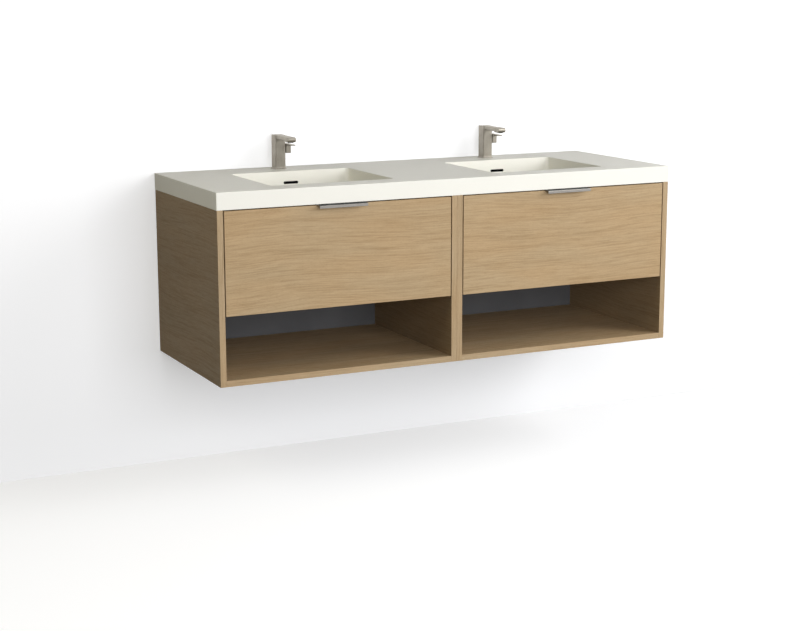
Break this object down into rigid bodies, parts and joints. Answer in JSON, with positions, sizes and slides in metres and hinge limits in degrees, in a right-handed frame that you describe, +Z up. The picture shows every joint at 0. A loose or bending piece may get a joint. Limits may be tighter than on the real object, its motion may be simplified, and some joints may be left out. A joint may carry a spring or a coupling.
{
  "type": "wall-hung double vanity",
  "caption": "Wall-hung bathroom vanity in oak with two basins in one white top, drawers with edge pulls, open shelves and side-lever faucets.",
  "frame": {"origin": "middle of the line of wall screws, on the face of the wall", "axes": "+X to the right as seen from the front, +Y into the wall, +Z up; the drawers open towards -Y"},
  "size_m": [1.5, 0.561, 0.654],
  "materials": {
    "oak": "matt oak veneer",
    "composite": "satin white cast composite",
    "nickel": "brushed nickel",
    "chrome": "polished",
    "brass": "plain machined",
    "black_plastic": "fine matt",
    "rubber": "matt",
    "dark_panel": "dark grey melamine",
    "pale_board": "clear lacquered birch",
    "aluminium": "satin anodised",
    "zinc_steel": "zinc plated"
  },
  "bodies": {
    "cabinet": {"countertop": "composite", "left_basin": "composite", "right_basin": "composite", "left_faucet_body": "nickel", "right_faucet_body": "nickel", "left_aerator": "black_plastic", "right_aerator": "black_plastic", "faucet_nuts": "brass", "left_drain_body": "chrome", "right_drain_body": "chrome", "drain_gaskets": "rubber", "drain_nuts": "chrome", "left_tailpiece": "chrome", "right_tailpiece": "chrome", "left_outer_side": "oak", "left_inner_side": "oak", "right_inner_side": "oak", "right_outer_side": "oak", "left_floor": "oak", "right_floor": "oak", "left_divider": "oak", "right_divider": "oak", "shelf_backs": "dark_panel", "front_rails": "pale_board", "hanging_rails": "pale_board", "carcass_dowels": "pale_board", "joining_bolts": "zinc_steel", "wall_cleats": "zinc_steel", "cabinet_cleats": "zinc_steel", "cleat_screws": "zinc_steel", "left_slide_outer": "zinc_steel", "right_slide_outer": "zinc_steel", "slide_screws": "zinc_steel"},
    "left_drawer": {"left_drawer_front": "oak", "left_edge_pull": "aluminium", "left_drawer_subfront": "pale_board", "left_drawer_sides": "pale_board", "left_drawer_back": "pale_board", "left_drawer_notch": "pale_board", "left_drawer_bottom": "pale_board", "left_slide_inner": "zinc_steel", "left_drawer_screws": "zinc_steel"},
    "left_slide_carriage": {"left_slide_middle": "zinc_steel"},
    "left_cartridge": {"left_faucet_cartridge": "black_plastic"},
    "left_lever": {"left_faucet_lever": "nickel"},
    "left_pop_up": {"left_stopper": "chrome"},
    "right_drawer": {"right_drawer_front": "oak", "right_edge_pull": "aluminium", "right_drawer_subfront": "pale_board", "right_drawer_sides": "pale_board", "right_drawer_back": "pale_board", "right_drawer_notch": "pale_board", "right_drawer_bottom": "pale_board", "right_slide_inner": "zinc_steel", "right_drawer_screws": "zinc_steel"},
    "right_slide_carriage": {"right_slide_middle": "zinc_steel"},
    "right_cartridge": {"right_faucet_cartridge": "black_plastic"},
    "right_lever": {"right_faucet_lever": "nickel"},
    "right_pop_up": {"right_stopper": "chrome"}
  },
  "joints": [
    {"name": "left_drawer_slide", "type": "slide", "parent": "cabinet", "child": "left_drawer", "axis": [0, -1, 0], "range_m": [0, 0.45]},
    {"name": "left_carriage_slide", "type": "slide", "parent": "cabinet", "child": "left_slide_carriage", "axis": [0, -1, 0], "range_m": [0, 0.225]},
    {"name": "left_lever_turn", "type": "hinge", "parent": "cabinet", "child": "left_cartridge", "pos_m": [-0.3655, -0.05, 0.1695], "axis": [1, 0, 0], "range_deg": [-45, 45]},
    {"name": "left_lever_pull", "type": "hinge", "parent": "left_cartridge", "child": "left_lever", "pos_m": [-0.3585, -0.05, 0.1695], "axis": [0, 0, 1], "range_deg": [0, 18]},
    {"name": "left_pop_up_lift", "type": "slide", "parent": "cabinet", "child": "left_pop_up", "axis": [0, 0, 1], "range_m": [0, 0.008]},
    {"name": "right_drawer_slide", "type": "slide", "parent": "cabinet", "child": "right_drawer", "axis": [0, -1, 0], "range_m": [0, 0.45]},
    {"name": "right_carriage_slide", "type": "slide", "parent": "cabinet", "child": "right_slide_carriage", "axis": [0, -1, 0], "range_m": [0, 0.225]},
    {"name": "right_lever_turn", "type": "hinge", "parent": "cabinet", "child": "right_cartridge", "pos_m": [0.3655, -0.05, 0.1695], "axis": [1, 0, 0], "range_deg": [-45, 45]},
    {"name": "right_lever_pull", "type": "hinge", "parent": "right_cartridge", "child": "right_lever", "pos_m": [0.3725, -0.05, 0.1695], "axis": [0, 0, 1], "range_deg": [0, 18]},
    {"name": "right_pop_up_lift", "type": "slide", "parent": "cabinet", "child": "right_pop_up", "axis": [0, 0, 1], "range_m": [0, 0.008]}
  ],
  "couplings": [
    {"joint": "left_carriage_slide", "follows": "left_drawer_slide", "ratio": 0.5},
    {"joint": "right_carriage_slide", "follows": "right_drawer_slide", "ratio": 0.5}
  ]
}
